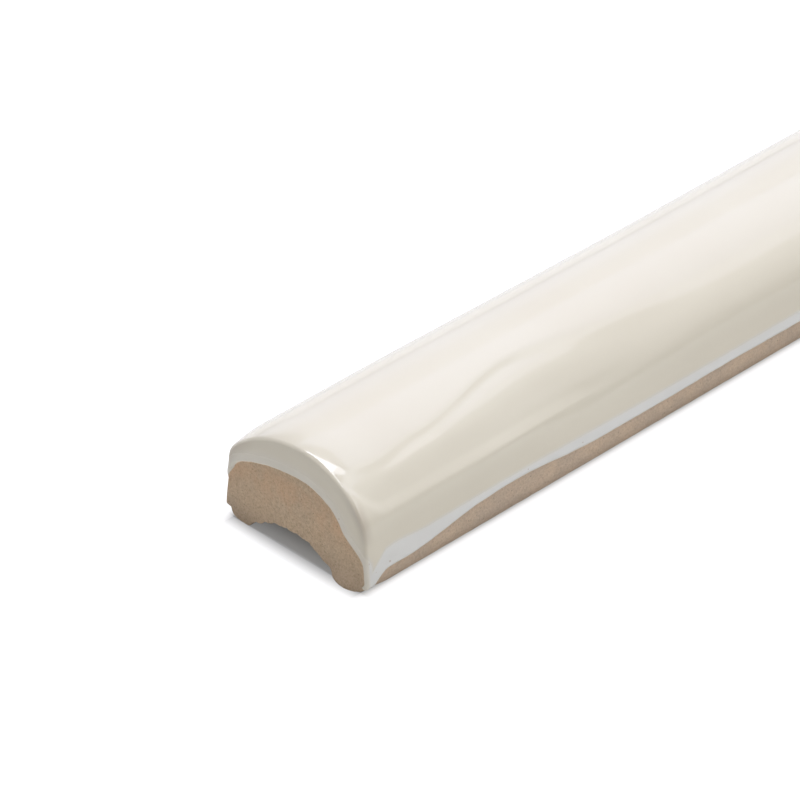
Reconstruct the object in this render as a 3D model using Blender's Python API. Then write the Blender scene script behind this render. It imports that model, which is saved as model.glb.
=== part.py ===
"""Pencil liner tile: one fired clay bar with a glazed, arched face and a shallow groove underneath.

The bar lies along X on its two feet, with its underside on Z = 0.
Front is -Y, and the end with the thumb dent is at -X.
"""

import math

import bmesh
import bpy

# Overall sizes, in metres
LENGTH = 0.200
BASE_WIDTH = 0.020
RIDGE_HEIGHT = 0.01335

# The arched face: its ridge, and where the arch meets the two long walls
RIDGE_LEAN = 0.0012
FRONT_SHOULDER_HEIGHT = 0.0073
BACK_SHOULDER_HEIGHT = 0.0086
FRONT_SHOULDER_EASE = 0.0009
BACK_SHOULDER_EASE = 0.0009

# The long walls lean inwards so that the bar comes out of its mould
FRONT_DRAFT = math.radians(2.0)
BACK_DRAFT = math.radians(6.0)

# The underside: two feet with worn outer edges, and the key groove between them
FOOT_EDGE_RADIUS = 0.00135
GROOVE_WIDTH = 0.0122
GROOVE_DEPTH = 0.0025
GROOVE_SHIFT = 0.0006

# The face falls softly towards both cut ends
END_RIDGE_DROP = 0.00057
END_FRONT_SHOULDER_DROP = 0.00015
END_BACK_SHOULDER_DROP = 0.0006
END_REACH = 0.0040

# Long shallow waves left by hand pressing
WAVE_DEPTH = 0.00014
WAVE_LENGTH = 0.071
WAVE_START = 0.020

# One thumb dent on the front of the arch, measured from the -X end and down the face from the ridge
DENT_DEPTH = 0.00042
DENT_FROM_END = 0.024
DENT_LENGTH = 0.044
DENT_FROM_RIDGE = 0.0064
DENT_UPPER_REACH = 0.0032
DENT_LOWER_REACH = 0.0046

# Height below which the walls are left unglazed
BARE_CLAY_HEIGHT = 0.0030

# Fineness of the mesh
RING_SPACING = 0.0029
END_RINGS = 6
END_BUNCHING = 1.5
FOOT_STEPS = 4
WALL_STEPS = 3
EASE_STEPS = 4
FRONT_ARCH_STEPS = 13
BACK_ARCH_STEPS = 12
GROOVE_STEPS = 14
SMOOTH_ANGLE = math.radians(35.0)
TOUCHING = 1e-6

GLAZE_COLOUR = (0.86, 0.83, 0.76, 1.0)
GLAZE_ROUGHNESS = 0.12
CLAY_COLOUR = (0.42, 0.31, 0.22, 1.0)
CLAY_ROUGHNESS = 0.85


def clear_scene():
    for scene_object in list(bpy.data.objects):
        bpy.data.objects.remove(scene_object, do_unlink=True)


def principled(name, colour, roughness):
    material = bpy.data.materials.new(name)
    material.use_nodes = True
    shader = material.node_tree.nodes["Principled BSDF"]
    shader.inputs["Base Color"].default_value = colour
    shader.inputs["Roughness"].default_value = roughness
    shader.inputs["Metallic"].default_value = 0.0
    return material


def between(start, stop, share):
    return start + (stop - start) * share


def arc_radius(half_chord, rise):
    """Radius of the circle that climbs `rise` over `half_chord` from a level tangent."""
    return (half_chord * half_chord + rise * rise) / (2.0 * rise)


def wall_foot(draft):
    """Where the foot's rounded edge passes into the wall, as distance in from the side and height."""
    inset = FOOT_EDGE_RADIUS * (1.0 - math.cos(draft))
    height = FOOT_EDGE_RADIUS * (1.0 + math.sin(draft))
    return inset, height


def wall_inset(draft, height):
    """How far the wall stands in from the base's widest line at a height."""
    inset, foot_height = wall_foot(draft)
    return inset + (height - foot_height) * math.tan(draft)


def foot_edge(draft):
    """Rounded outer edge of a foot, from the floor up to the wall."""
    points = []
    for step in range(FOOT_STEPS + 1):
        angle = (math.pi / 2.0 + draft) * step / FOOT_STEPS
        inset = FOOT_EDGE_RADIUS * (1.0 - math.sin(angle))
        height = FOOT_EDGE_RADIUS * (1.0 - math.cos(angle))
        points.append((inset, height))
    return points


def half_face(draft, shoulder_height, ease, ridge_inset, ridge_height, arch_steps):
    """One side of the outer face from the floor to the ridge, as distances in from the side and heights."""
    shoulder_inset = wall_inset(draft, shoulder_height)
    half_chord = ridge_inset - shoulder_inset
    radius = arc_radius(half_chord, ridge_height - shoulder_height)
    foot_height = wall_foot(draft)[1]
    points = foot_edge(draft)

    for step in range(1, WALL_STEPS + 1):
        height = between(foot_height, shoulder_height - ease, step / WALL_STEPS)
        points.append((wall_inset(draft, height), height))

    def arch_point(angle):
        inset = ridge_inset - radius * math.sin(angle)
        return inset, ridge_height - radius * (1.0 - math.cos(angle))

    ease_angle = math.asin(half_chord / radius) - ease / radius
    ease_from = points[-1]
    ease_to = arch_point(ease_angle)
    corner = (shoulder_inset, shoulder_height)
    for step in range(1, EASE_STEPS):
        share = step / EASE_STEPS
        bent = []
        for start, middle, stop in zip(ease_from, corner, ease_to):
            bent.append(between(between(start, middle, share), between(middle, stop, share), share))
        points.append(tuple(bent))

    for step in range(arch_steps):
        points.append(arch_point(ease_angle * (1.0 - step / arch_steps)))
    return points


def outer_face(x):
    """The glazed side of the section at x as (y, z), from the front foot over the ridge to the back foot."""
    half_width = BASE_WIDTH / 2.0
    fall = end_fall(x)
    ridge_height = RIDGE_HEIGHT - END_RIDGE_DROP * fall - wave_sink(x)
    front_drop = END_FRONT_SHOULDER_DROP * fall + wave_sink(x)
    back_drop = END_BACK_SHOULDER_DROP * fall + wave_sink(x)
    front = half_face(
        FRONT_DRAFT,
        FRONT_SHOULDER_HEIGHT - front_drop,
        FRONT_SHOULDER_EASE,
        half_width - RIDGE_LEAN,
        ridge_height,
        FRONT_ARCH_STEPS,
    )
    back = half_face(
        BACK_DRAFT,
        BACK_SHOULDER_HEIGHT - back_drop,
        BACK_SHOULDER_EASE,
        half_width + RIDGE_LEAN,
        ridge_height,
        BACK_ARCH_STEPS,
    )
    points = [(inset - half_width, height) for inset, height in front]
    points.append((-RIDGE_LEAN, ridge_height))
    points.extend((half_width - inset, height) for inset, height in reversed(back))
    return points


def underside():
    """The key groove as (y, z), from its back edge on the floor to its front edge."""
    half_chord = GROOVE_WIDTH / 2.0
    radius = arc_radius(half_chord, GROOVE_DEPTH)
    sweep = math.asin(half_chord / radius)
    points = []
    for step in range(GROOVE_STEPS + 1):
        angle = between(sweep, -sweep, step / GROOVE_STEPS)
        rise = radius * math.cos(angle) - radius * math.cos(sweep)
        points.append((GROOVE_SHIFT + radius * math.sin(angle), rise))
    return points


def outward_normals(path):
    """Unit normals in the section's plane, pointing out of a face that is walked from front to back."""
    normals = []
    last = len(path) - 1
    for index in range(len(path)):
        before = path[max(index - 1, 0)]
        after = path[min(index + 1, last)]
        along_y = after[0] - before[0]
        along_z = after[1] - before[1]
        size = math.hypot(along_y, along_z)
        normals.append((-along_z / size, along_y / size))
    return normals


def swell(share):
    """Smooth hump: 1 at the middle, level and 0 at a distance of 1 and beyond."""
    if abs(share) >= 1.0:
        return 0.0
    return math.cos(share * math.pi / 2.0) ** 2


def end_fall(x):
    """How far the face has gone down towards a cut end, from 0 in the bar to 1 at the end."""
    from_end = LENGTH / 2.0 - abs(x)
    return (1.0 - min(from_end / END_REACH, 1.0)) ** 2


def wave_sink(x):
    """Depth of the long waves along the bar."""
    turn = 2.0 * math.pi * (x + LENGTH / 2.0 - WAVE_START) / WAVE_LENGTH
    return WAVE_DEPTH * (1.0 - math.cos(turn)) / 2.0


def distances_down(path):
    """Distance of each point from the ridge, walked down the front of the face; 0 behind the ridge."""
    distances = [0.0] * len(path)
    for index in range(len(path) - 2, -1, -1):
        if path[index][0] < -RIDGE_LEAN:
            distances[index] = distances[index + 1] + math.dist(path[index], path[index + 1])
    return distances


def dent_sink(x, down):
    """Depth of the thumb dent, whose upper edge is steeper than its lower one."""
    along = (x + LENGTH / 2.0 - DENT_FROM_END) / (DENT_LENGTH / 2.0)
    past_middle = down - DENT_FROM_RIDGE
    reach = DENT_UPPER_REACH if past_middle < 0.0 else DENT_LOWER_REACH
    return DENT_DEPTH * swell(along) * swell(past_middle / reach)


def dented_face(x):
    """The glazed side of the section at x, with the thumb dent pushed into it."""
    path = outer_face(x)
    dented = []
    for (y, z), (out_y, out_z), down in zip(path, outward_normals(path), distances_down(path)):
        depth = dent_sink(x, down)
        dented.append((y - out_y * depth, z - out_z * depth))
    return dented


def stations():
    """Places along X where the section is set, closer together near the two ends."""
    half_length = LENGTH / 2.0
    reach = [END_REACH * (step / END_RINGS) ** END_BUNCHING for step in range(END_RINGS + 1)]
    middle = LENGTH - 2.0 * END_REACH
    count = max(2, math.ceil(middle / RING_SPACING))
    places = [-half_length + distance for distance in reach]
    places.extend(-half_length + END_REACH + middle * step / count for step in range(1, count))
    places.extend(half_length - distance for distance in reversed(reach))
    return places


def add_section(bm, x):
    """One closed section at x, as its corners in order and its edges."""
    corners = [bm.verts.new((x, y, z)) for y, z in dented_face(x) + underside()]
    edges = []
    for index, corner in enumerate(corners):
        edges.append(bm.edges.new((corner, corners[(index + 1) % len(corners)])))
    return corners, edges


def paint_glaze(bm):
    """Glaze on the outer face above the bare strip, and bare clay on the ends and the underside."""
    half_length = LENGTH / 2.0
    bm.normal_update()
    for face in bm.faces:
        centre = face.calc_center_median()
        on_end = half_length - abs(centre.x) < TOUCHING
        glazed = centre.z > BARE_CLAY_HEIGHT and face.normal.z > 0.0 and not on_end
        face.material_index = 0 if glazed else 1


def liner_tile():
    """The bar: its section set at each station, the sections bridged, and the two cut ends closed."""
    bm = bmesh.new()
    sections = [add_section(bm, x) for x in stations()]
    for (_, edges), (_, next_edges) in zip(sections, sections[1:]):
        bmesh.ops.bridge_loops(bm, edges=edges + next_edges)
    bm.faces.new(sections[0][0])
    bm.faces.new(sections[-1][0])
    bmesh.ops.recalc_face_normals(bm, faces=bm.faces)
    paint_glaze(bm)

    mesh = bpy.data.meshes.new("liner_tile")
    bm.to_mesh(mesh)
    bm.free()
    mesh.materials.append(principled("cream_glaze", GLAZE_COLOUR, GLAZE_ROUGHNESS))
    mesh.materials.append(principled("fired_clay", CLAY_COLOUR, CLAY_ROUGHNESS))
    mesh.shade_smooth()
    mesh.set_sharp_from_angle(angle=SMOOTH_ANGLE)
    tile = bpy.data.objects.new("liner_tile", mesh)
    bpy.context.collection.objects.link(tile)
    return tile


clear_scene()
liner_tile()
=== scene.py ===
"""Looks of a pencil liner tile: fired clay with a white undercoat and a cream glaze on its arched face."""

import math

import bpy
from mathutils import Matrix, Vector


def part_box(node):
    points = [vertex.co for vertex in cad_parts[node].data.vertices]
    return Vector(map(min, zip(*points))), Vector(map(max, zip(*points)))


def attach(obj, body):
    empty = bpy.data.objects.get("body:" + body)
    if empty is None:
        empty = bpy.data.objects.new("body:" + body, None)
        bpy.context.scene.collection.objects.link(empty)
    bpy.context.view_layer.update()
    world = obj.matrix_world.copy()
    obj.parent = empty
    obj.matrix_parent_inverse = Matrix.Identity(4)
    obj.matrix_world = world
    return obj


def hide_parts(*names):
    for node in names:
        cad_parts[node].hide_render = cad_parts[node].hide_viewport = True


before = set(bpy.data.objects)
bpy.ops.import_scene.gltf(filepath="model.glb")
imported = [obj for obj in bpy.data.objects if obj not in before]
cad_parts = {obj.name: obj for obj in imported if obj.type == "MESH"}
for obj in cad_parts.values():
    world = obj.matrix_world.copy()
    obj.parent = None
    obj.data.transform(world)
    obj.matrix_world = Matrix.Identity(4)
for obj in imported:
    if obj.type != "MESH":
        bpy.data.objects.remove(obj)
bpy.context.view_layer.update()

TILE_LOW, TILE_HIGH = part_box("liner_tile")
MM = 0.001

# The solid's own sizes
LENGTH = TILE_HIGH.x - TILE_LOW.x
BASE_WIDTH = TILE_HIGH.y - TILE_LOW.y
RIDGE_HEIGHT = TILE_HIGH.z - TILE_LOW.z

# Section: the arch, the walls and the key groove
RIDGE_LEAN = 1.2 * MM
FRONT_SHOULDER_HEIGHT = 7.3 * MM
BACK_SHOULDER_HEIGHT = 8.6 * MM
FRONT_SHOULDER_EASE = 0.9 * MM
BACK_SHOULDER_EASE = 0.9 * MM
FRONT_DRAFT = math.radians(2.0)
BACK_DRAFT = math.radians(6.0)
FOOT_EDGE_RADIUS = 1.35 * MM
GROOVE_WIDTH = 12.2 * MM
GROOVE_DEPTH = 2.5 * MM
GROOVE_SHIFT = 0.6 * MM
FINE_STEPS = 60

# The face falls towards the cut ends, whose edges are rounded by the glaze
END_RIDGE_DROP = 0.57 * MM
END_FRONT_SHOULDER_DROP = 0.15 * MM
END_BACK_SHOULDER_DROP = 0.6 * MM
END_REACH = 4.0 * MM
ARRIS_RADIUS = 0.18 * MM

# Below, a stretch is (from, to) and a hump (height, middle, reach) along the bar, measured from its near
# end. A step is (from, to) down from the ridge or in height, and a place (middle, reach) across the bar.

# Hand pressing: long waves and a slight sway, from a little above the floor
WAVE_DEPTH = 0.14 * MM
WAVE_LENGTH = 71.0 * MM
WAVE_START = 20.0 * MM
SWAY_DEPTH = 0.035 * MM
SWAY_LENGTH = 16.0 * MM
SWAY_SQUEEZE = 1.5
PRESSED_ABOVE = 2.0 * MM

# The thumb's dent in the front of the arch. Its crease lies lower below the ridge towards the near end and
# past the thumb, sags a little near the cut and hooks up at the cut itself
CREASE_BELOW_RIDGE = 2.4 * MM
CREASE_NEAR_FALL = 2.1 * MM
CREASE_CLIMB_STRETCH = (10.5 * MM, 25.0 * MM)
CREASE_FAR_FALL = 1.5 * MM
CREASE_FALL_STRETCH = (28.0 * MM, 44.0 * MM)
CREASE_SAGS = [(0.5 * MM, 5.0 * MM, 5.0 * MM)]
CREASE_HOOK = 3.6 * MM
CREASE_HOOK_REACH = 2.2 * MM

# The crease is narrow under the thumb's tip and wider past it and at the cut
CREASE_WIDTH = 1.1 * MM
CREASE_FAR_WIDTH = 2.5 * CREASE_WIDTH
CREASE_WIDENING_STRETCH = (24.0 * MM, 35.0 * MM)
CREASE_CUT_WIDTH = 2.2 * MM
CREASE_CUT_STRETCH = (-1.0 * MM, 2.5 * MM)

# Its depth grows in shares of the full one, and fades out
CREASE_DEPTH = 0.28 * MM
CREASE_NEAR_SHARE = 0.25
CREASE_NEAR_STRETCH = (-2.0 * MM, 1.5 * MM)
CREASE_THUMB_SHARE = 0.67
CREASE_THUMB_STRETCH = (13.0 * MM, 22.0 * MM)
CREASE_CUT_SHARE = 0.08
CREASE_CUT_FADE_STRETCH = (2.0 * MM, 6.0 * MM)
CREASE_FADE_STRETCH = (29.0 * MM, 52.0 * MM)

# A roll of clay stands above the crease, and a streak below it
ROLL_RISE = 0.08 * MM
ROLL_WIDTH = 2.0 * MM
ROLL_STRETCH = (2.0 * MM, 12.0 * MM)
ROLL_FADE_STRETCH = (24.0 * MM, 32.0 * MM)
STREAK_RISE = 0.10 * MM
STREAK_WIDTH = 1.0 * MM
STREAK_STRETCH = (2.0 * MM, 8.0 * MM)
STREAK_FADE_STRETCH = (17.0 * MM, 26.0 * MM)

# The flank below the crease is flattened, and sinks a little more past the thumb's tip
FLANK_DEPTH = 0.25 * MM
FLANK_STRETCH = (-3.0 * MM, 10.0 * MM)
FLANK_FADE_STRETCH = (36.0 * MM, 54.0 * MM)
FLANK_SHARES = [(-0.2, 9.0 * MM, 8.0 * MM), (0.5, 27.0 * MM, 9.0 * MM)]
FLANK_BELOW_RIDGE = 5.4 * MM
FLANK_TIP_BELOW_RIDGE = 4.2 * MM
FLANK_CLIMB_STRETCH = (15.0 * MM, 26.0 * MM)
FLANK_WIDTH = 3.4 * MM
SINK_DEPTH = 0.22 * MM
SINK_MIDDLE = 32.0 * MM
SINK_REACH = 13.0 * MM
SINK_STEP = (6.3 * MM, 10.3 * MM)

# Lower down the dent ends in a rise, sharp at first under the thumb and plain past its tip
RISE_BELOW_RIDGE = 8.85 * MM
RISE_HOOK = 4.25 * MM
RISE_HOOK_REACH = 3.3 * MM
RISE_WIDTH = 1.7 * MM
SHARP_RISE_NEAR = 1.15
SHARP_RISE_TIP = 0.42
SHARP_RISE_STRETCH = (11.0 * MM, 24.0 * MM)
WHOLE_RISE = 0.95
SOFT_RISE_STEP = (10.5 * MM, 15.0 * MM)
PLAIN_RISE_STEP = (9.0 * MM, 14.5 * MM)
PLAIN_RISE_STRETCH = (20.0 * MM, 34.0 * MM)

# The coats: how thick they are, and how far up the walls they stop
COAT_THICKNESS = 0.15 * MM
LIP_WIDTH = 0.5 * MM
HALF_LIP = LIP_WIDTH / 2.0
LIP_FOOT = -0.5 * HALF_LIP
BEAD_SHARE = 0.25
BEAD_REACH = 1.6 * HALF_LIP
FRONT_COAT_EDGE = 3.7 * MM
FRONT_COAT_HUMPS = [
    (-0.75 * MM, 4.0 * MM, 11.0 * MM),
    (0.8 * MM, 20.0 * MM, 13.0 * MM),
    (0.1 * MM, 52.0 * MM, 8.0 * MM),
]
FRONT_COAT_CORNER_SHARE = 0.12
FRONT_COAT_CORNER_STRETCH = (-1.5 * MM, 3.0 * MM)
FRONT_CREAM_EDGE = 5.05 * MM
FRONT_CREAM_HUMPS = [(0.3 * MM, 18.0 * MM, 20.0 * MM), (0.35 * MM, 4.0 * MM, 4.5 * MM)]
FRONT_CREAM_CORNER_DROP = 2.0 * MM
FRONT_CREAM_CORNER_REACH = 2.4 * MM
FRONT_CREAM_RAGGED_SHARE = 0.5
BACK_COAT_EDGE = 4.2 * MM
BACK_COAT_WAVE = 0.7 * MM
BACK_COAT_WAVE_LENGTH = 19.0 * MM
BACK_COAT_WAVE_SLICE = 5.0 * MM
BACK_UNDERCOAT_WIDTH = 1.2 * MM
RAGGED_HEIGHT = 0.10 * MM
RAGGED_LENGTH = 2.6 * MM

# The coats on the cut ends: how far they come in from the outer edge
END_COAT_WIDTH = 3.5 * MM
END_COAT_START = 4.6 * MM
END_COAT_BEND = 1.03
END_COAT_TAPER = 4.0 * MM
END_COAT_FOOT_WIDTH = 0.5 * MM
END_COAT_FRONT_STEP = (3.0 * MM, 8.7 * MM)
END_UNDERCOAT_WIDTH = 1.1 * MM
END_RAGGED_HEIGHT = 0.08 * MM
END_RAGGED_LENGTH = 1.8 * MM

# Values of the two coat distances on the bare underside, well outside both
UNDERSIDE_COAT = -1.0 * MM
UNDERSIDE_CREAM = -2.0 * MM

# The clay's grain, the pitted underside and the near end's wear
CLAY_GRAIN_HEIGHT = 0.035 * MM
CLAY_GRAIN_SIZE = 0.9 * MM
PIT_DEPTH = 0.07 * MM
PIT_SIZE = 1.7 * MM
BURR_HEIGHT = 0.62 * MM
BURR_LIFT = 0.14 * MM
BURR_SIZE = 1.4 * MM
BURR_SLICE = 3.0 * MM
WEAR_REACH = 3.0 * MM
WEAR_ON_END_STEP = (-1.2 * MM, -0.1 * MM)
CHIP_DEPTH = 0.7 * MM
CHIP_PLACE = (10.4 * MM, 2.3 * MM)
CHIP_STEP = (0.8 * MM, 1.2 * MM)
WORN_CORNER_DEPTH = 0.4 * MM
WORN_CORNER_PLACE = (-10.2 * MM, 1.6 * MM)
WORN_CORNER_STEP = (0.2 * MM, 1.3 * MM)
FOOT_BULGE = 0.65 * MM
FOOT_BULGE_PLACE = (-7.0 * MM, 2.6 * MM)
FOOT_BULGE_STEP = (0.1 * MM, 2.2 * MM)
FOOT_BULGE_REACH = 2.0 * MM

# Mesh rows round the section
OUTER_BARE_STEPS = 16
LIP_STEPS = 10
OUTER_FACE_STEPS = 148
UNDER_STEPS = 80
OUTER_STEPS = 2 * OUTER_BARE_STEPS + 2 * LIP_STEPS + OUTER_FACE_STEPS
AROUND = OUTER_STEPS + UNDER_STEPS

# Mesh rows across each end face, from its outer edge inwards
EDGE_ROWS = 7
BAND_ROWS = 9
CLAY_ROWS = 14
FACE_ROWS = EDGE_ROWS + BAND_ROWS + LIP_STEPS + CLAY_ROWS
LEAST_BAND = 0.02 * MM
FACE_ROWS_REACH = 0.95
FACE_LIMIT = 0.97
CORE_INSET = 0.08

# Mesh rows along the bar, each with the length that it covers
CORNER_ROWS, CORNER_REACH = 10, 0.6 * MM
NEAR_ROWS, NEAR_REACH = 42, 6.4 * MM
SHOWN_ROWS, SHOWN_REACH = 104, 58.0 * MM
PLAIN_ROWS = 66
FAR_ROWS = 14
BAR_ROWS = 2 * CORNER_ROWS + NEAR_ROWS + SHOWN_ROWS + PLAIN_ROWS + FAR_ROWS
RINGS = 2 * FACE_ROWS + BAR_ROWS + 1

# Colours of the fired clay, with the most that each tint takes
CLAY_DULL = (0.58, 0.455, 0.34, 1.0)
CLAY_BRIGHT = (0.675, 0.515, 0.368, 1.0)
GRAIN_PALE = (0.86, 0.72, 0.58, 1.0)
GRAIN_DARK = (0.30, 0.21, 0.14, 1.0)
GRAIN_ON_WALL, GRAIN_ON_END = 0.28, 0.8
CUT_CLAY, CUT_TINT = (0.70, 0.515, 0.315, 1.0), 0.5
WARM_CLAY, WARM_TINT = (0.83, 0.48, 0.26, 1.0), 0.34
WARM_HEIGHT, WARM_REACH = 6.6 * MM, 4.2 * MM
# Painted shade: the clay turns darker towards the floor, low on the walls and on the cut ends
CLAY_PAINTED_SHADE = (0.36, 0.27, 0.20, 1.0)
PAINTED_SHADE_ON_END, PAINTED_SHADE_END_STEP = 0.42, (0.0, 3.5 * MM)
PAINTED_SHADE_ON_WALL, PAINTED_SHADE_WALL_STEP = 0.36, (1.2 * MM, 2.2 * MM)
SPECK, SPECK_TINT = (0.13, 0.085, 0.055, 1.0), 0.5

# Colours of the coats
UNDERCOAT_WHITE = (0.82, 0.81, 0.765, 1.0)
UNDERCOAT_GREY = (0.775, 0.765, 0.72, 1.0)
END_UNDERCOAT, END_UNDERCOAT_TINT = (0.80, 0.745, 0.62, 1.0), 0.85
PINHOLE, PINHOLE_TINT = (0.45, 0.33, 0.24, 1.0), 0.6
CREAM_DEEP = (0.765, 0.70, 0.56, 1.0)
CREAM_PALE = (0.785, 0.725, 0.585, 1.0)
# Darker tone about the arrises of the cut ends: partly clay showing through the thin coat, partly painted
# shade along the rounded arris
THIN_COAT_AND_SHADE, THIN_COAT_AND_SHADE_TINT, THIN_COAT_AND_SHADE_LEAST = (0.42, 0.34, 0.26, 1.0), 0.34, 0.06
THIN_COAT_AND_SHADE_HEIGHT, THIN_COAT_AND_SHADE_REACH = 8.3 * MM, 3.4 * MM

# Patterns of clay and coats: the size of one blotch, and the levels of noise that it starts and ends at
FINE_SIZE, FINE_LEVELS = 0.22 * MM, (0.0, 0.4)
GRAIN_SIZE = 0.5 * MM
PATCH_SIZE, CLAY_PATCH_LEVELS, UNDERCOAT_PATCH_LEVELS = 3.6 * MM, (-0.4, 0.5), (-0.5, 0.6)
WARM_SIZE, WARM_LEVELS = 3.5 * MM, (-0.35, 0.35)
SPECK_SIZE, SPECK_LEVELS = 0.2 * MM, (0.25, 0.5)
PINHOLE_SIZE, PINHOLE_LEVELS = 0.55 * MM, (0.52, 0.60)
CREAM_CLOUD_SIZE, CREAM_CLOUD_LEVELS = 14.0 * MM, (-0.6, 0.6)
RIPPLE_SIZE = 1.6 * MM

# Widths, in the millimetres that the mesh's attributes are kept in, over which one finish turns to another
COAT_BLUR, COAT_FRAY = 0.05, 0.05
CREAM_BLUR_ON_WALL, CREAM_BLUR_ON_END, CREAM_FRAY = 0.4, 0.75, 0.1
END_BLUR = 0.3
# Widths of the darker tone about the arrises: thin coat and painted shade
THIN_AND_SHADE_ON_WALL, THIN_AND_SHADE_ON_END = 1.1, 1.3

# Gloss and bump, with the bumps' heights in millimetres
CLAY_ROUGHNESS, UNDERCOAT_ROUGHNESS, CREAM_ROUGHNESS = 0.88, 0.38, 0.10
GLAZE_IOR = 1.6
GRAIN_BUMP, FINE_BUMP, SPECK_BUMP, RIPPLE_BUMP = 0.05, 0.02, 0.03, 0.0025

# Floor: its tone in bounced light, to the camera and far off in the glaze
FLOOR_HALF = 8.0
FLOOR_BOUNCED = (0.74, 0.725, 0.677, 1.0)
FLOOR_SEEN = (0.35, 0.345, 0.335, 1.0)
FLOOR_FAR_OFF = (0.10, 0.10, 0.10, 1.0)
FAR_OFF_STEP = (0.05, 0.13)
WHITE = (1.0, 1.0, 1.0, 1.0)

# The floor's glow, which makes it white to the camera, is weak in the glaze and in the shade by the tile
FLOOR_GLOW, SHADE_GLOW, DEEP_SHADE = 0.8, 0.20, 0.12
MIRRORED_IN_FRONT, MIRRORED_BEHIND, BEHIND_STEP = 0.075, 0.21, (0.015, 0.05)
SHADE_PAST_END = (-0.7 * MM, 2.2 * MM)
SHADE_PAST_SIDE = (-0.5 * MM, 1.1 * MM)
SHADE_SIDE_INSET = 1.0 * MM
SHADE_EDGE = (-0.01 * MM, 0.0)
DEEP_SHADE_REACH = 3.0 * MM

# Lamps: the rig's size, where its lamps stand along the bar, and the tones of light
WORLD_LIGHT = 0.14
RIG_RADIUS = 1.05
BACK_LAMPS_X, BACK_LAMPS_WIDTH = 0.80, 1.0
FRONT_LAMPS_X, FRONT_LAMPS_WIDTH = 0.5, 1.2
NEAR_LAMP_X, NEAR_LAMP_WIDTH = 0.22, 0.2
LOW_BACK_LIGHT = (0.97, 1.0, 1.18)
BACK_LIGHT = (1.0, 1.0, 1.13)
COOL_LIGHT = (0.94, 1.0, 1.35)
SKY_LIGHT = (0.975, 1.0, 1.12)
PLAIN_LIGHT = (0.995, 1.0, 0.97)

# Camera, as the photograph was taken
IMAGE_WIDTH = 800
FOCAL_PIXELS = 4740.0
SENSOR_WIDTH = 36.0
CAMERA_PLACE = Vector((-0.35680, -0.27297, 0.27083))
CAMERA_AZIMUTH = math.radians(-44.8)
CAMERA_ELEVATION = math.radians(34.0)


class Graph:
    """A node tree that is built by calls."""

    def __init__(self, tree):
        self.tree = tree

    def feed(self, socket, value):
        if isinstance(value, Field):
            self.tree.links.new(value.socket, socket)
        else:
            socket.default_value = value

    def node(self, kind, settings=None, inputs=None):
        made = self.tree.nodes.new(kind)
        for name, value in (settings or {}).items():
            setattr(made, name, value)
        for key, value in (inputs or {}).items():
            self.feed(made.inputs[key], value)
        return made

    def field(self, kind, settings=None, inputs=None, output=0):
        return Field(self, self.node(kind, settings, inputs).outputs[output])

    def math(self, operation, *values):
        return self.field("ShaderNodeMath", {"operation": operation}, dict(enumerate(values)))


class Field:
    """A socket that takes part in sums: each operation adds its node."""

    def __init__(self, graph, socket):
        self.graph = graph
        self.socket = socket

    def __add__(self, other):
        return self.graph.math("ADD", self, other)

    __radd__ = __add__

    def __sub__(self, other):
        return self.graph.math("SUBTRACT", self, other)

    def __rsub__(self, other):
        return self.graph.math("SUBTRACT", other, self)

    def __mul__(self, other):
        return self.graph.math("MULTIPLY", self, other)

    __rmul__ = __mul__

    def __truediv__(self, other):
        return self.graph.math("DIVIDE", self, other)

    def __pow__(self, other):
        return self.graph.math("POWER", self, other)

    def __neg__(self):
        return self.graph.math("MULTIPLY", self, -1.0)


def smaller(a, b):
    return a.graph.math("MINIMUM", a, b)


def larger(a, b):
    return a.graph.math("MAXIMUM", a, b)


def clamped(a, low=0.0, high=1.0):
    return smaller(larger(a, low), high)


def step_up(a, low, high):
    """Smooth step from 0 at low to 1 at high."""
    return a.graph.field(
        "ShaderNodeMapRange",
        {"interpolation_type": "SMOOTHSTEP"},
        {"Value": a, "From Min": low, "From Max": high},
    )


def step_down(a, low, high):
    """Smooth step from 1 at low to 0 at high."""
    return 1.0 - step_up(a, low, high)


def swell(a, middle, reach):
    """Smooth hump of height 1 at middle, level and 0 from reach on."""
    share = clamped(a.graph.math("ABSOLUTE", (a - middle) / reach))
    return a.graph.math("COSINE", share * math.pi) * 0.5 + 0.5


def with_humps(a, level, humps):
    """A level with smooth humps and dips, each given as its height, middle and reach."""
    for height, middle, reach in humps:
        level = level + height * swell(a, middle, reach)
    return level


def end_ease(distance, reach):
    """1 at an end, eased down to 0 at a reach from it."""
    return (1.0 - clamped(distance / reach)) ** 2.0


def mixed(a, b, share):
    """Value between a and b, by a share that is a field."""
    return share * (b - a) + a


def covered(count, stretches):
    """Distance that a row number has covered, where each stretch is its rows and its length."""
    total = 0.0
    start = 0
    for rows, length in stretches:
        total = clamped((count - start) / rows) * length + total
        start += rows
    return total


def noise(graph, place, size, detail=2.0, roughness=0.5):
    """Noise around 0, about from -1 to 1, whose blotches have a given size."""
    inputs = {"Vector": place, "Scale": 1.0 / size, "Detail": detail, "Roughness": roughness}
    return graph.field("ShaderNodeTexNoise", None, inputs) * 2.0 - 1.0


def point(graph, x, y, z):
    return graph.field("ShaderNodeCombineXYZ", None, {0: x, 1: y, 2: z})


def parts_of(graph, vector):
    """The x, y and z of a vector."""
    split = graph.node("ShaderNodeSeparateXYZ", None, {0: vector})
    return [Field(graph, output) for output in split.outputs]


def arc_radius(half_chord, rise):
    return (half_chord * half_chord + rise * rise) / (2.0 * rise)


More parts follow.
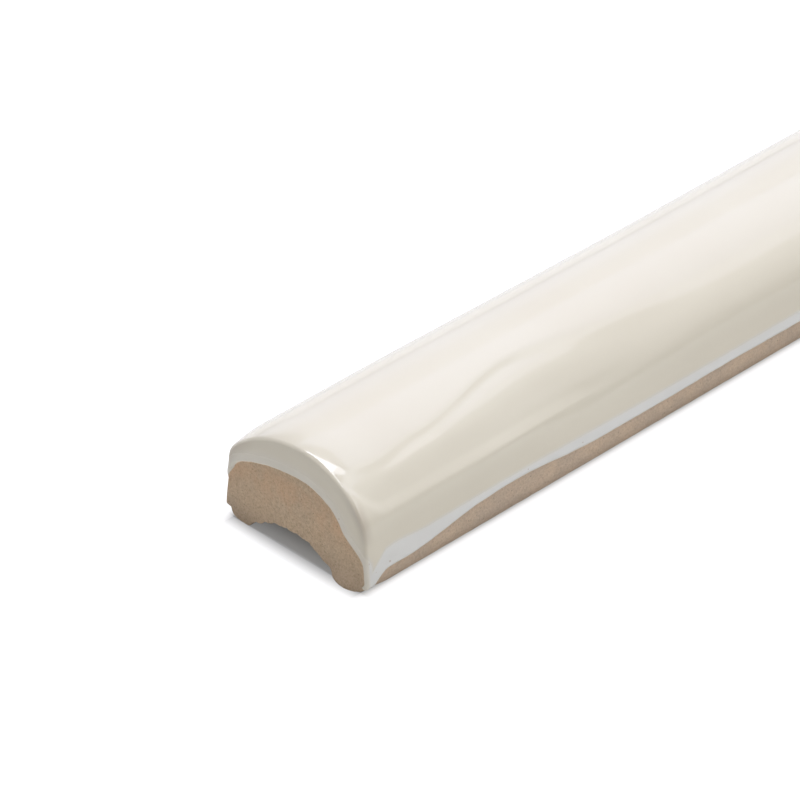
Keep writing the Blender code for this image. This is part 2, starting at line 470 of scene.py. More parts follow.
def half_face(draft, shoulder_height, ease, ridge_inset):
    """One side of the outer face from the floor to the ridge, as distances in from the side and heights."""
    points = []
    for step in range(FINE_STEPS + 1):
        angle = (math.pi / 2.0 + draft) * step / FINE_STEPS
        inset = FOOT_EDGE_RADIUS * (1.0 - math.sin(angle))
        points.append((inset, FOOT_EDGE_RADIUS * (1.0 - math.cos(angle))))
    foot_inset, foot_height = points[-1]
    lean = math.tan(draft)
    shoulder_inset = foot_inset + (shoulder_height - foot_height) * lean
    half_chord = ridge_inset - shoulder_inset
    radius = arc_radius(half_chord, RIDGE_HEIGHT - shoulder_height)

    def arch_point(angle):
        return ridge_inset - radius * math.sin(angle), RIDGE_HEIGHT - radius * (1.0 - math.cos(angle))

    ease_angle = math.asin(half_chord / radius) - ease / radius
    ease_from = (shoulder_inset - ease * lean, shoulder_height - ease)
    ease_to = arch_point(ease_angle)
    for step in range(FINE_STEPS + 1):
        share = step / FINE_STEPS
        near = (1.0 - share) ** 2
        bend = 2.0 * share * (1.0 - share)
        far = share**2
        inset = near * ease_from[0] + bend * shoulder_inset + far * ease_to[0]
        points.append((inset, near * ease_from[1] + bend * shoulder_height + far * ease_to[1]))
    for step in range(1, 2 * FINE_STEPS):
        points.append(arch_point(ease_angle * (1.0 - step / (2.0 * FINE_STEPS))))
    return points


def outer_line():
    """The glazed side of the section as (y, z), from the front foot over the ridge to the back foot."""
    half = BASE_WIDTH / 2.0
    front = half_face(FRONT_DRAFT, FRONT_SHOULDER_HEIGHT, FRONT_SHOULDER_EASE, half - RIDGE_LEAN)
    back = half_face(BACK_DRAFT, BACK_SHOULDER_HEIGHT, BACK_SHOULDER_EASE, half + RIDGE_LEAN)
    points = [(inset - half, height) for inset, height in front]
    points.append((-RIDGE_LEAN, RIDGE_HEIGHT))
    points.extend((half - inset, height) for inset, height in reversed(back))
    return points


def under_line():
    """The feet and the groove as (y, z), from the back foot's outer edge to the front foot's."""
    contact = BASE_WIDTH / 2.0 - FOOT_EDGE_RADIUS
    half_chord = GROOVE_WIDTH / 2.0
    radius = arc_radius(half_chord, GROOVE_DEPTH)
    sweep = math.asin(half_chord / radius)
    points = [(contact, 0.0)]
    for step in range(2 * FINE_STEPS + 1):
        angle = sweep * (1.0 - step / FINE_STEPS)
        height = radius * (math.cos(angle) - math.cos(sweep))
        points.append((GROOVE_SHIFT + radius * math.sin(angle), height))
    points.append((-contact, 0.0))
    return points


def line_length(points):
    return sum(math.dist(a, b) for a, b in zip(points, points[1:]))


def line_object(name, points):
    """A guide line in the section's plane."""
    curve = bpy.data.curves.new(name, "CURVE")
    curve.dimensions = "3D"
    spline = curve.splines.new("POLY")
    spline.points.add(len(points) - 1)
    for place, (y, z) in zip(spline.points, points):
        place.co = (0.0, y, z, 1.0)
    guide = bpy.data.objects.new(name, curve)
    bpy.context.collection.objects.link(guide)
    return guide


def tree_sockets(tree):
    """The tree's output and its named inputs, whose identifiers are handed back."""
    tree.interface.new_socket(name="Geometry", in_out="OUTPUT", socket_type="NodeSocketGeometry")
    identifiers = {}
    for name, kind, value in (
        ("Outer line", "NodeSocketObject", None),
        ("Under line", "NodeSocketObject", None),
        ("Length", "NodeSocketFloat", LENGTH),
        ("Coat thickness", "NodeSocketFloat", COAT_THICKNESS),
        ("Crease depth", "NodeSocketFloat", CREASE_DEPTH),
        ("Flank depth", "NodeSocketFloat", FLANK_DEPTH),
        ("Wave depth", "NodeSocketFloat", WAVE_DEPTH),
        ("Finish", "NodeSocketMaterial", None),
    ):
        socket = tree.interface.new_socket(name=name, in_out="INPUT", socket_type=kind)
        if value is not None:
            socket.default_value = value
        identifiers[name] = socket.identifier
    return identifiers


def guide_shape(graph, guide):
    """The curve of a guide line's object."""
    info = graph.node("GeometryNodeObjectInfo", None, {"Object": guide})
    return Field(graph, info.outputs["Geometry"])


def sampled(graph, line, share):
    """Place and direction on a guide line, as y, z and the outward normal's y and z."""
    sample = graph.node("GeometryNodeSampleCurve", {"mode": "FACTOR"}, {"Curves": line, "Factor": share})
    _, y, z = parts_of(graph, Field(graph, sample.outputs["Position"]))
    _, heading_y, heading_z = parts_of(graph, Field(graph, sample.outputs["Tangent"]))
    return y, z, -heading_z, heading_y


def along_bar(ring, length):
    """Distance of each ring from the near cut end, where the rings of an end face all stay at their end."""
    plain_reach = length - (2.0 * CORNER_REACH + 2.0 * NEAR_REACH + SHOWN_REACH)
    stretches = [
        (CORNER_ROWS, CORNER_REACH),
        (NEAR_ROWS, NEAR_REACH),
        (SHOWN_ROWS, SHOWN_REACH),
        (PLAIN_ROWS, plain_reach),
        (FAR_ROWS, NEAR_REACH),
        (CORNER_ROWS, CORNER_REACH),
    ]
    return covered(ring - FACE_ROWS, stretches)


def wall_coat_edges(graph, from_near):
    """Where the coats stop on the long walls, measured round the section from the floor."""
    ragged = noise(graph, point(graph, from_near, 0.0, 0.0), RAGGED_LENGTH, detail=3.0) * RAGGED_HEIGHT
    front_edge = with_humps(from_near, FRONT_COAT_EDGE, FRONT_COAT_HUMPS) + ragged
    off_corner = step_up(from_near, *FRONT_COAT_CORNER_STRETCH)
    front_edge = front_edge * mixed(FRONT_COAT_CORNER_SHARE, 1.0, off_corner)
    cream_edge = with_humps(from_near, FRONT_CREAM_EDGE, FRONT_CREAM_HUMPS)
    cream_edge = cream_edge + ragged * FRONT_CREAM_RAGGED_SHARE
    by_corner = 1.0 - clamped(from_near / FRONT_CREAM_CORNER_REACH)
    cream_edge = cream_edge - FRONT_CREAM_CORNER_DROP * by_corner
    wave = noise(graph, point(graph, from_near, BACK_COAT_WAVE_SLICE, 0.0), BACK_COAT_WAVE_LENGTH)
    back_edge = BACK_COAT_EDGE + wave * BACK_COAT_WAVE + ragged
    return front_edge, cream_edge, back_edge


def round_section(step, outer_length, front_edge, back_edge):
    """Distance round the outer face from the front foot, with close steps where the coats stop."""
    stretches = [
        (OUTER_BARE_STEPS, front_edge - HALF_LIP),
        (LIP_STEPS, LIP_WIDTH),
        (OUTER_FACE_STEPS, outer_length - LIP_WIDTH - front_edge - back_edge),
        (LIP_STEPS, LIP_WIDTH),
        (OUTER_BARE_STEPS, back_edge - HALF_LIP),
    ]
    return covered(clamped(step, 0.0, OUTER_STEPS), stretches)


def crease_line(from_near):
    """How far below the ridge the crease starts, and how wide it is."""
    start = CREASE_BELOW_RIDGE + CREASE_NEAR_FALL * step_down(from_near, *CREASE_CLIMB_STRETCH)
    start = start + CREASE_FAR_FALL * step_up(from_near, *CREASE_FALL_STRETCH)
    start = with_humps(from_near, start, CREASE_SAGS)
    start = start - CREASE_HOOK * end_ease(from_near, CREASE_HOOK_REACH)
    width = mixed(CREASE_WIDTH, CREASE_FAR_WIDTH, step_up(from_near, *CREASE_WIDENING_STRETCH))
    width = width + CREASE_CUT_WIDTH * step_down(from_near, *CREASE_CUT_STRETCH)
    return start, width


def crease_depth(from_near, full_depth):
    """Depth of the crease along the bar."""
    share = CREASE_NEAR_SHARE * step_up(from_near, *CREASE_NEAR_STRETCH)
    share = share + CREASE_THUMB_SHARE * step_up(from_near, *CREASE_THUMB_STRETCH)
    share = share + CREASE_CUT_SHARE * step_down(from_near, *CREASE_CUT_FADE_STRETCH)
    return full_depth * share * step_down(from_near, *CREASE_FADE_STRETCH)


def flank_depth(from_near, full_depth):
    """How far the flank is flattened along the bar."""
    flank = full_depth * step_up(from_near, *FLANK_STRETCH) * step_down(from_near, *FLANK_FADE_STRETCH)
    return flank * with_humps(from_near, 1.0, FLANK_SHARES)


def dent_rise(from_near, down):
    """Share of the dent's depth that the face has taken back, at a distance down from the ridge."""
    start = RISE_BELOW_RIDGE - RISE_HOOK * end_ease(from_near, RISE_HOOK_REACH)
    sharp = mixed(SHARP_RISE_NEAR, SHARP_RISE_TIP, step_up(from_near, *SHARP_RISE_STRETCH))
    under_thumb = step_up(down - start, 0.0, RISE_WIDTH) * sharp
    under_thumb = under_thumb + step_up(down, *SOFT_RISE_STEP) * (WHOLE_RISE - sharp)
    plain = step_up(down, *PLAIN_RISE_STEP)
    return mixed(under_thumb, plain, step_up(from_near, *PLAIN_RISE_STRETCH))


def thumb_dent(size, from_near, down):
    """Depth of the thumb's dent, at a distance along the bar and down from the ridge."""
    crease_start, crease_width = crease_line(from_near)
    crease = crease_depth(from_near, size["Crease depth"])
    flank = flank_depth(from_near, size["Flank depth"])
    flank_start = mixed(FLANK_BELOW_RIDGE, FLANK_TIP_BELOW_RIDGE, step_up(from_near, *FLANK_CLIMB_STRETCH))
    roll = ROLL_RISE * step_up(from_near, *ROLL_STRETCH) * step_down(from_near, *ROLL_FADE_STRETCH)
    streak = STREAK_RISE * step_up(from_near, *STREAK_STRETCH) * step_down(from_near, *STREAK_FADE_STRETCH)
    sink = SINK_DEPTH * swell(from_near, SINK_MIDDLE, SINK_REACH)
    dent = (crease + roll) * step_up(down - crease_start, 0.0, crease_width)
    dent = dent - roll * step_up(down - crease_start + ROLL_WIDTH, 0.0, ROLL_WIDTH)
    dent = dent - streak * step_up(down - crease_start - crease_width, 0.0, STREAK_WIDTH)
    dent = dent + flank * step_up(down - flank_start, 0.0, FLANK_WIDTH)
    dent = dent + sink * step_up(down, *SINK_STEP)
    return dent - (crease + flank - streak) * dent_rise(from_near, down)


def hand_pressing(graph, size, from_near, down, y, z):
    """How far the hands pressed the face in: the long waves, the thumb's dent and a slight sway."""
    turn = (from_near - WAVE_START) * (2.0 * math.pi / WAVE_LENGTH)
    wave = size["Wave depth"] * (0.5 - 0.5 * graph.math("COSINE", turn))
    squeezed = point(graph, from_near, y * SWAY_SQUEEZE, z * SWAY_SQUEEZE)
    sway = noise(graph, squeezed, SWAY_LENGTH, detail=1.0)
    hold = step_up(z, PRESSED_ABOVE, FRONT_SHOULDER_HEIGHT)
    return hold * (wave + thumb_dent(size, from_near, down) + sway * SWAY_DEPTH)


def end_drop(y, z, fall):
    """How far a point of the face goes down near a cut end."""
    front_side = z.graph.math("LESS_THAN", y, -RIDGE_LEAN)
    shoulder_height = mixed(BACK_SHOULDER_HEIGHT, FRONT_SHOULDER_HEIGHT, front_side)
    shoulder_drop = mixed(END_BACK_SHOULDER_DROP, END_FRONT_SHOULDER_DROP, front_side)
    wall_share = clamped(z / shoulder_height) ** 2.0
    arch_share = clamped((z - shoulder_height) / (RIDGE_HEIGHT - shoulder_height))
    return fall * (wall_share * shoulder_drop + arch_share * (END_RIDGE_DROP - shoulder_drop))


def face_core(graph, outer_guide, under_guide, share, fall):
    """The line that an end face shrinks to, half way between the outer face and the groove."""
    kept_share = share * (1.0 - 2.0 * CORE_INSET) + CORE_INSET
    upper_y, upper_z, _, _ = sampled(graph, outer_guide, kept_share)
    lower_y, lower_z, _, _ = sampled(graph, under_guide, 1.0 - kept_share)
    core_z = (upper_z - end_drop(upper_y, upper_z, fall) + lower_z) * 0.5
    return (upper_y + lower_y) * 0.5, core_z


def end_coat_width(graph, y, z, front_side):
    """How far the coat comes in over an end face from the point (y, z) of its outer edge."""
    climb = (z - END_COAT_START) / (RIDGE_HEIGHT - END_RIDGE_DROP - END_COAT_START)
    back = END_COAT_WIDTH * clamped(climb) ** END_COAT_BEND + smaller(climb, 0.0) * END_COAT_TAPER
    past_foot = (END_COAT_WIDTH - END_COAT_FOOT_WIDTH) * step_up(z, *END_COAT_FRONT_STEP)
    ragged = noise(graph, point(graph, 0.0, y, z), END_RAGGED_LENGTH, detail=3.0) * END_RAGGED_HEIGHT
    return mixed(back, END_COAT_FOOT_WIDTH + past_foot, front_side) + ragged


def face_depth(count, coat_width, reach):
    """How far inwards a row of an end face lies, counted from its outer edge."""
    band = larger(coat_width - ARRIS_RADIUS - HALF_LIP, LEAST_BAND)
    rest = larger(reach * FACE_ROWS_REACH - band - ARRIS_RADIUS - LIP_WIDTH, LEAST_BAND)
    rows = [(EDGE_ROWS, ARRIS_RADIUS), (BAND_ROWS, band), (LIP_STEPS, LIP_WIDTH), (CLAY_ROWS, rest)]
    return smaller(covered(count, rows), reach * FACE_LIMIT)


def rounded_arris(past):
    """Sine and cosine of the edge's turn, distance from the end plane, and inset, past the sharp edge."""
    turned = clamped((1.0 - past / ARRIS_RADIUS) * (math.pi / 4.0), 0.0, math.pi / 2.0)
    sine = past.graph.math("SINE", turned)
    cosine = past.graph.math("COSINE", turned)
    away = ARRIS_RADIUS * (1.0 - sine) + larger(past - ARRIS_RADIUS, 0.0)
    inset = ARRIS_RADIUS * (1.0 - cosine) + larger(-past - ARRIS_RADIUS, 0.0)
    return sine, cosine, away, inset


def coat_relief(graph, place, coat, thickness):
    """How far the surface stands over the section: the coats with their fat edge, and the clay's grain."""
    coated = step_up(coat, LIP_FOOT, HALF_LIP)
    bead = swell(coat, HALF_LIP, BEAD_REACH)
    grain = noise(graph, place, CLAY_GRAIN_SIZE, detail=4.0, roughness=0.6)
    return thickness * (coated + BEAD_SHARE * bead) + (1.0 - coated) * grain * CLAY_GRAIN_HEIGHT


def clay_wear(graph, place, is_under, past_near, past_far):
    """Depth lost to the underside's pits, the near groove's ragged burr, a chip and a worn corner."""
    _, y, z = parts_of(graph, place)
    by_cut = step_down(past_near, 0.0, WEAR_REACH)
    pits = noise(graph, place, PIT_SIZE, detail=4.0, roughness=0.6) * 0.5 + 0.5
    burr = noise(graph, point(graph, 0.0, y, BURR_SLICE), BURR_SIZE, detail=4.0, roughness=0.7)
    burr = burr * BURR_HEIGHT - BURR_LIFT
    worn = is_under * (pits * PIT_DEPTH + by_cut * burr)
    chip = swell(y, *CHIP_PLACE) * step_down(z, *CHIP_STEP) * by_cut
    corner = swell(y, *WORN_CORNER_PLACE) * step_down(z, *WORN_CORNER_STEP) * by_cut
    worn = worn + chip * CHIP_DEPTH + corner * WORN_CORNER_DEPTH
    return worn * step_up(smaller(past_near, past_far), *WEAR_ON_END_STEP)


def foot_bulge(y, z, past_near):
    """How far the front foot bulges past the near cut."""
    share = swell(y, *FOOT_BULGE_PLACE) * step_down(z, *FOOT_BULGE_STEP)
    return share * step_down(past_near, 0.0, FOOT_BULGE_REACH) * FOOT_BULGE


def pressed_face(graph, size, guide, share, from_near, down, fall):
    """The pressed outer face, as y, z and normal, and which of its points are on the front side."""
    y, z, normal_y, normal_z = sampled(graph, guide, share)
    pressed = hand_pressing(graph, size, from_near, down, y, z)
    pressed_z = z - normal_z * pressed - end_drop(y, z, fall)
    front_side = graph.math("LESS_THAN", y, -RIDGE_LEAN)
    return (y - normal_y * pressed, pressed_z, normal_y, normal_z), front_side


def coat_insides(path, back_path, edges, from_ends, coat_width, is_under):
    """Distances inside the coats and inside the cream alone, from their own edges; negative outside them."""
    front_edge, cream_edge, back_edge = edges
    on_wall = smaller(path - front_edge, back_path - back_edge)
    coat = smaller(on_wall, from_ends + coat_width)
    cream_on_wall = smaller(path - cream_edge, back_path - back_edge - BACK_UNDERCOAT_WIDTH)
    cream = smaller(cream_on_wall, from_ends + coat_width - END_UNDERCOAT_WIDTH)
    return mixed(coat, UNDERSIDE_COAT, is_under), mixed(cream, UNDERSIDE_CREAM, is_under)


def tile_surface(graph, size, ring, step, outer_length, ridge_path):
    """Place of each point, and its distances inside the coats, inside the cream and in from the cut ends."""
    length = size["Length"]
    from_near = along_bar(ring, length)
    from_far = length - from_near
    fall = end_ease(from_near, END_REACH) + end_ease(from_far, END_REACH)
    edges = wall_coat_edges(graph, from_near)
    front_edge, _, back_edge = edges

    # The sharp-edged section
    outer_guide = guide_shape(graph, size["Outer line"])
    under_guide = guide_shape(graph, size["Under line"])
    path = round_section(step, outer_length, front_edge, back_edge)
    outer_share = clamped(path / outer_length)
    under_share = clamped((step - OUTER_STEPS) / UNDER_STEPS)
    is_under = graph.math("GREATER_THAN", step, OUTER_STEPS + 0.5)
    down = ridge_path - path
    face, front_side = pressed_face(graph, size, outer_guide, outer_share, from_near, down, fall)
    under = sampled(graph, under_guide, under_share)
    edge_y, edge_z, normal_y, normal_z = [mixed(a, b, is_under) for a, b in zip(face, under)]

    # The end faces, whose rings shrink to their core
    share = mixed(outer_share, 1.0 - under_share, is_under)
    core_y, core_z = face_core(graph, outer_guide, under_guide, share, fall)
    inward_y = core_y - edge_y
    inward_z = core_z - edge_z
    reach = graph.math("SQRT", inward_y * inward_y + inward_z * inward_z)
    coat_width = end_coat_width(graph, edge_y, edge_z, front_side)
    past_near = from_near - face_depth(FACE_ROWS - ring, coat_width, reach)
    past_far = from_far - face_depth(ring - (FACE_ROWS + BAR_ROWS), coat_width, reach)
    from_ends = smaller(past_near, past_far)

    # The rounded arrises
    near_sine, near_cosine, near_away, near_inset = rounded_arris(past_near)
    far_sine, far_cosine, far_away, far_inset = rounded_arris(past_far)
    x = from_near - length * 0.5 + near_away - larger(past_near, 0.0) - far_away + larger(past_far, 0.0)
    inset_share = (near_inset + far_inset) / reach
    y = edge_y + inward_y * inset_share
    z = edge_z + inward_z * inset_share
    place = point(graph, x, y, z)

    # Coats, relief and wear
    coat, cream = coat_insides(path, outer_length - path, edges, from_ends, coat_width, is_under)
    relief = coat_relief(graph, place, coat, size["Coat thickness"])
    outward = relief * (near_cosine * far_cosine) - clay_wear(graph, place, is_under, past_near, past_far)
    placed = point(
        graph,
        x - relief * near_sine + relief * far_sine - foot_bulge(y, z, past_near),
        y + outward * normal_y,
        larger(z + outward * normal_z, 0.0),
    )
    return placed, {"coat": coat, "cream": cream, "inward": from_ends}


def tile_tree(outer_length, ridge_path):
    """The bar as a closed tube: rings of the section along X, closed by shrinking rings on the cut ends."""
    tree = bpy.data.node_groups.new("liner_tile_shape", "GeometryNodeTree")
    sockets = tree_sockets(tree)
    graph = Graph(tree)
    given = graph.node("NodeGroupInput")
    size = {name: Field(graph, given.outputs[name]) for name in sockets}
    tube = graph.field(
        "GeometryNodeMeshCylinder", {"fill_type": "NGON"}, {"Vertices": AROUND, "Side Segments": RINGS - 1}
    )
    index = graph.field("GeometryNodeInputIndex")
    ring = graph.math("FLOOR", (index + 0.5) / AROUND)
    step = index - ring * AROUND
    placed, distances = tile_surface(graph, size, ring, step, outer_length, ridge_path)
    shape = graph.field("GeometryNodeSetPosition", None, {"Geometry": tube, "Position": placed})
    for name, distance in distances.items():
        inputs = {"Geometry": shape, "Name": name, "Value": distance / MM}
        shape = graph.field("GeometryNodeStoreNamedAttribute", None, inputs)
    shape = graph.field("GeometryNodeSetShadeSmooth", None, {"Geometry": shape})
    shape = graph.field("GeometryNodeRealizeInstances", None, {"Geometry": shape})
    shape = graph.field("GeometryNodeSetMaterial", None, {"Geometry": shape, "Material": size["Finish"]})
    graph.node("NodeGroupOutput", None, {0: shape})
    return tree, sockets


def glazed_tile(finish):
    """The visible tile, made by the tree and turned into a plain mesh."""
    outer_points = outer_line()
    guides = {
        "Outer line": line_object("outer_line", outer_points),
        "Under line": line_object("under_line", under_line()),
    }
    front_points = [(y, z) for y, z in outer_points if y <= -RIDGE_LEAN]
    tree, sockets = tile_tree(line_length(outer_points), line_length(front_points))
    seed_object = bpy.data.objects.new("tile_seed", bpy.data.meshes.new("tile_seed"))
    bpy.context.collection.objects.link(seed_object)
    modifier = seed_object.modifiers.new("shape", "NODES")
    modifier.node_group = tree
    for name, guide in guides.items():
        modifier[sockets[name]] = guide
    modifier[sockets["Finish"]] = finish
    evaluated = seed_object.evaluated_get(bpy.context.evaluated_depsgraph_get())
    mesh = bpy.data.meshes.new_from_object(evaluated)
    seed_object.modifiers.remove(modifier)
    bpy.data.objects.remove(seed_object)
    for guide in guides.values():
        bpy.data.objects.remove(guide)
    mesh.name = "glazed_liner"
    tile = bpy.data.objects.new("glazed_liner", mesh)
    bpy.context.collection.objects.link(tile)
    return tile


def new_material(name):
    material = bpy.data.materials.new(name)
    material.use_nodes = True
    material.node_tree.nodes.clear()
    return material, Graph(material.node_tree)


def blended(graph, a, b, share):
    """Colour between a and b."""
    mix = graph.node("ShaderNodeMix", {"data_type": "RGBA"}, {0: share, 6: a, 7: b})
    return Field(graph, mix.outputs[2])


def attribute(graph, name):
    """One of the distances that the tile's tree stored on the mesh, in millimetres."""
    return graph.field("ShaderNodeAttribute", {"attribute_name": name}, None, "Fac")


def fired_clay(graph, place, fine, patch, specks, on_end):
    """Colour of the bare clay: patches, grain and specks, warm on the cut ends, and painted shade that
    darkens it towards the floor.
    """
    height_above = parts_of(graph, place)[2]
    contrast = mixed(GRAIN_ON_WALL, GRAIN_ON_END, on_end)
    clay = blended(graph, CLAY_DULL, CLAY_BRIGHT, step_up(patch, *CLAY_PATCH_LEVELS))
    clay = blended(graph, clay, GRAIN_PALE, step_up(fine, *FINE_LEVELS) * contrast)
    clay = blended(graph, clay, GRAIN_DARK, step_up(-fine, *FINE_LEVELS) * contrast)
    clay = blended(graph, clay, CUT_CLAY, on_end * CUT_TINT)
    warm = step_up(noise(graph, place, WARM_SIZE, detail=3.0), *WARM_LEVELS)
    warm = warm * swell(height_above, WARM_HEIGHT, WARM_REACH)
    clay = blended(graph, clay, WARM_CLAY, on_end * warm * WARM_TINT)
    # Painted shade: darker clay low down, by the floor
    painted_shade_on_wall = PAINTED_SHADE_ON_WALL * step_down(height_above, *PAINTED_SHADE_WALL_STEP)
    painted_shade_on_end = PAINTED_SHADE_ON_END * step_down(height_above, *PAINTED_SHADE_END_STEP)
    clay = blended(graph, clay, CLAY_PAINTED_SHADE, mixed(painted_shade_on_wall, painted_shade_on_end, on_end))
    return blended(graph, clay, SPECK, specks * SPECK_TINT)


def white_undercoat(graph, place, patch, on_end):
    """Colour of the undercoat: white and grey clouds, creamier on the cut ends, with a few pinholes."""
    undercoat = blended(graph, UNDERCOAT_WHITE, UNDERCOAT_GREY, step_up(patch, *UNDERCOAT_PATCH_LEVELS))
    undercoat = blended(graph, undercoat, END_UNDERCOAT, on_end * END_UNDERCOAT_TINT)
    pinholes = step_up(noise(graph, place, PINHOLE_SIZE, detail=1.0), *PINHOLE_LEVELS)
    return blended(graph, undercoat, PINHOLE, pinholes * PINHOLE_TINT)


def cream_glaze(graph, place):
    """Colour of the glaze, which clouds a little along the bar."""
    clouds = step_up(noise(graph, place, CREAM_CLOUD_SIZE), *CREAM_CLOUD_LEVELS)
    return blended(graph, CREAM_DEEP, CREAM_PALE, clouds)


def thinness_and_shade(graph, place, inward):
    """How much the coats darken about the arrises of the cut ends: clay showing through where they are thin,
    and painted shade along the rounded arris.
    """
    by_height = swell(parts_of(graph, place)[2], THIN_COAT_AND_SHADE_HEIGHT, THIN_COAT_AND_SHADE_REACH)
    most = by_height * THIN_COAT_AND_SHADE_TINT + THIN_COAT_AND_SHADE_LEAST
    return step_down(inward, 0.0, THIN_AND_SHADE_ON_WALL) * (step_down(-inward, 0.0, THIN_AND_SHADE_ON_END) * most)


def glazed_clay():
    """Bare fired clay, a white undercoat and a cream glaze, each where its edge says."""
    material, graph = new_material("glazed_clay")
    place = graph.field("ShaderNodeTexCoord", None, None, "Object")
    inward = attribute(graph, "inward")
    fine = noise(graph, place, FINE_SIZE, detail=3.0, roughness=0.6)
    grain = noise(graph, place, GRAIN_SIZE, detail=5.0, roughness=0.7)
    patch = noise(graph, place, PATCH_SIZE)
    specks = step_up(noise(graph, place, SPECK_SIZE), *SPECK_LEVELS)

    on_end = step_down(inward, 0.0, END_BLUR)
    coated = step_up(attribute(graph, "coat") + fine * COAT_FRAY, -COAT_BLUR, COAT_BLUR)
    cream_blur = mixed(CREAM_BLUR_ON_WALL, CREAM_BLUR_ON_END, on_end)
    glazed = step_up((attribute(graph, "cream") + grain * CREAM_FRAY) / cream_blur, -1.0, 1.0)

    clay = fired_clay(graph, place, fine, patch, specks, on_end)
    undercoat = white_undercoat(graph, place, patch, on_end)
    coats = blended(graph, undercoat, cream_glaze(graph, place), glazed)
    # Darker about the arrises: thin coat, and painted shade
    coats = blended(graph, coats, THIN_COAT_AND_SHADE, thinness_and_shade(graph, place, inward))
    coat_roughness = mixed(UNDERCOAT_ROUGHNESS, CREAM_ROUGHNESS, glazed)

    clay_bump = grain * GRAIN_BUMP + fine * FINE_BUMP - specks * SPECK_BUMP
    coat_bump = coated * noise(graph, place, RIPPLE_SIZE) * RIPPLE_BUMP
    height = (1.0 - coated) * clay_bump + coat_bump
    bump = graph.field("ShaderNodeBump", None, {"Strength": 1.0, "Distance": MM, "Height": height})
    shader = graph.field(
        "ShaderNodeBsdfPrincipled",
        None,
        {
            "Base Color": blended(graph, clay, coats, coated),
            "Roughness": mixed(CLAY_ROUGHNESS, coat_roughness, coated),
            "Normal": bump,
            "IOR": GLAZE_IOR,
        },
    )
    graph.node("ShaderNodeOutputMaterial", None, {"Surface": shader})
    return material


def tile_shade(past_edge, fade):
    """Shade close around the tile: whole up to its edge, and fading outside it."""
    return 1.0 - step_up(past_edge, *fade) * step_up(past_edge, *SHADE_EDGE)


def floor_finish():
    """Pale matt floor with a glow that makes it white to the camera, but for the shade by the tile."""
    material, graph = new_material("white_floor")
    x, y, _ = parts_of(graph, graph.field("ShaderNodeTexCoord", None, None, "Object"))
    rays = graph.node("ShaderNodeLightPath")
    by_camera = Field(graph, rays.outputs["Is Camera Ray"])
    by_glaze = Field(graph, rays.outputs["Is Glossy Ray"])
    mirrored = larger(by_glaze, Field(graph, rays.outputs["Is Transmission Ray"]))

    past_end = graph.math("ABSOLUTE", x) - LENGTH / 2.0
    past_side = graph.math("ABSOLUTE", y) - (BASE_WIDTH / 2.0 - SHADE_SIDE_INSET)
    shade = tile_shade(past_end, SHADE_PAST_END) * tile_shade(past_side, SHADE_PAST_SIDE)
    deep_shade = DEEP_SHADE * step_up(-past_end, 0.0, DEEP_SHADE_REACH) * shade
    seen = larger(by_camera, mirrored * mixed(MIRRORED_IN_FRONT, MIRRORED_BEHIND, step_up(y, *BEHIND_STEP)))
    strength = seen * (mixed(FLOOR_GLOW, SHADE_GLOW, shade) - deep_shade)
    glow = graph.field("ShaderNodeEmission", None, {"Color": WHITE, "Strength": strength})

    tone = blended(graph, FLOOR_BOUNCED, FLOOR_SEEN, by_camera)
    tone = blended(graph, tone, FLOOR_FAR_OFF, mirrored * step_up(-y, *FAR_OFF_STEP))
    matt = graph.field("ShaderNodeBsdfDiffuse", None, {"Color": tone})
    both = graph.field("ShaderNodeAddShader", None, {0: matt, 1: glow})
    graph.node("ShaderNodeOutputMaterial", None, {"Surface": both})
    return material


def white_floor():
    """The floor that the tile lies on."""
    mesh = bpy.data.meshes.new("floor")
    half = FLOOR_HALF
    corners = [(-half, -half, 0.0), (half, -half, 0.0), (half, half, 0.0), (-half, half, 0.0)]
    mesh.from_pydata(corners, [], [(0, 1, 2, 3)])
    mesh.materials.append(floor_finish())
    floor = bpy.data.objects.new("floor", mesh)
    bpy.context.collection.objects.link(floor)
    return floor


def studio_world():
    """White behind everything that the camera sees, and a plain dim light for the rest."""
    world = bpy.data.worlds.new("studio")
    world.use_nodes = True
    world.node_tree.nodes.clear()
    graph = Graph(world.node_tree)
    seen = graph.field("ShaderNodeLightPath", None, None, "Is Camera Ray")
    strength = mixed(WORLD_LIGHT, 1.0, seen)
    light = graph.field("ShaderNodeBackground", None, {"Color": WHITE, "Strength": strength})
    graph.node("ShaderNodeOutputWorld", None, {"Surface": light})
    bpy.context.scene.world = world


def softbox(name, place, target, size, radiance, colour):
    """Soft rectangular lamp that faces a target."""
    width, depth = size
    lamp = bpy.data.lights.new(name, "AREA")
    lamp.color = colour
    lamp.shape = "RECTANGLE"
    lamp.size = width
    lamp.size_y = depth
    lamp.energy = math.pi * width * depth * radiance
    rig = bpy.data.objects.new(name, lamp)
    facing = (Vector(place) - Vector(target)).to_track_quat("Z", "Y").to_matrix().to_4x4()
    rig.matrix_world = Matrix.Translation(place) @ facing
    bpy.context.collection.objects.link(rig)


def overhead_softbox(name, place, size, radiance, colour):
    """Softbox that faces straight down."""
    x, y, _ = place
    softbox(name, place, (x, y, 0.0), size, radiance, colour)


def ring_softbox(name, angles, x, width, radiance, colour):
    """Softbox along the bar that spans two angles, which turn from the floor behind the bar over its top."""
    low, high = angles
    middle = math.radians((low + high) / 2.0)
    half = math.radians((high - low) / 2.0)
    place = (x, RIG_RADIUS * math.cos(middle), RIG_RADIUS * math.sin(middle))
    depth = 2.0 * RIG_RADIUS * math.tan(half)
    softbox(name, place, (x, 0.0, 0.0), (width, depth), radiance, colour)


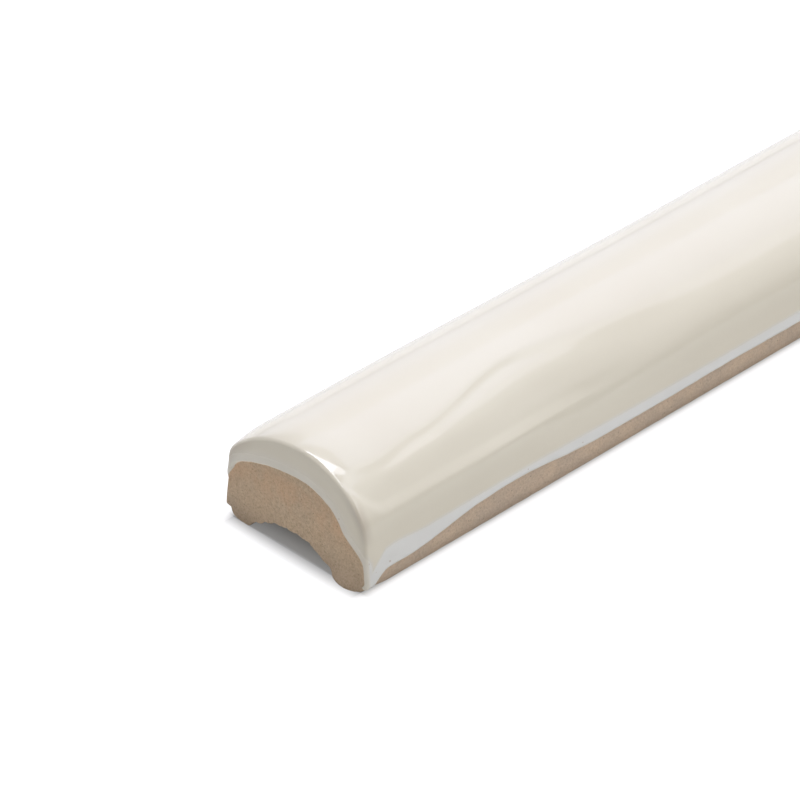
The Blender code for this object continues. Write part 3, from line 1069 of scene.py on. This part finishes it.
def lights():
    """Softboxes in a ring round the bar, three overhead and one for the near end."""
    ring_softbox("low_back_softbox", (2.0, 22.0), BACK_LAMPS_X, BACK_LAMPS_WIDTH, 0.82, LOW_BACK_LIGHT)
    ring_softbox("back_softbox", (22.0, 44.0), BACK_LAMPS_X, BACK_LAMPS_WIDTH, 0.68, BACK_LIGHT)
    overhead_softbox("top_softbox", (0.70, 0.36, 1.0), (0.9, 1.36), 1.02, COOL_LIGHT)
    overhead_softbox("zenith_softbox", (-0.11, 0.25, 0.98), (0.26, 0.8), 4.8, SKY_LIGHT)
    overhead_softbox("wide_zenith_softbox", (-0.08, 0.10, 1.0), (0.34, 1.1), 4.3, SKY_LIGHT)
    ring_softbox("high_front_softbox", (109.0, 124.0), FRONT_LAMPS_X, FRONT_LAMPS_WIDTH, 1.45, SKY_LIGHT)
    ring_softbox("front_softbox", (124.0, 143.0), FRONT_LAMPS_X, FRONT_LAMPS_WIDTH, 0.67, PLAIN_LIGHT)
    ring_softbox("low_front_softbox", (143.0, 162.0), FRONT_LAMPS_X, FRONT_LAMPS_WIDTH, 0.50, PLAIN_LIGHT)
    ring_softbox("near_front_softbox", (126.0, 156.0), NEAR_LAMP_X, NEAR_LAMP_WIDTH, 2.1, PLAIN_LIGHT)
    softbox("end_softbox", (-1.0, -0.35, 0.5), (-LENGTH / 2.0, 0.0, 0.0), (0.5, 0.4), 1.0, PLAIN_LIGHT)


def camera():
    lens = bpy.data.cameras.new("camera")
    lens.sensor_width = SENSOR_WIDTH
    lens.lens = FOCAL_PIXELS * SENSOR_WIDTH / IMAGE_WIDTH
    lens.clip_start = 0.01
    lens.clip_end = 50.0
    rig = bpy.data.objects.new("camera", lens)
    level = math.cos(CAMERA_ELEVATION)
    back = Vector(
        (math.sin(CAMERA_AZIMUTH) * level, -math.cos(CAMERA_AZIMUTH) * level, math.sin(CAMERA_ELEVATION))
    )
    rig.matrix_world = Matrix.Translation(CAMERA_PLACE) @ back.to_track_quat("Z", "Y").to_matrix().to_4x4()
    bpy.context.collection.objects.link(rig)
    bpy.context.scene.camera = rig


bpy.context.scene.view_settings.view_transform = "Standard"
camera()
studio_world()
lights()
white_floor()

tile = glazed_tile(glazed_clay())
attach(tile, "root")
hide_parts("liner_tile")
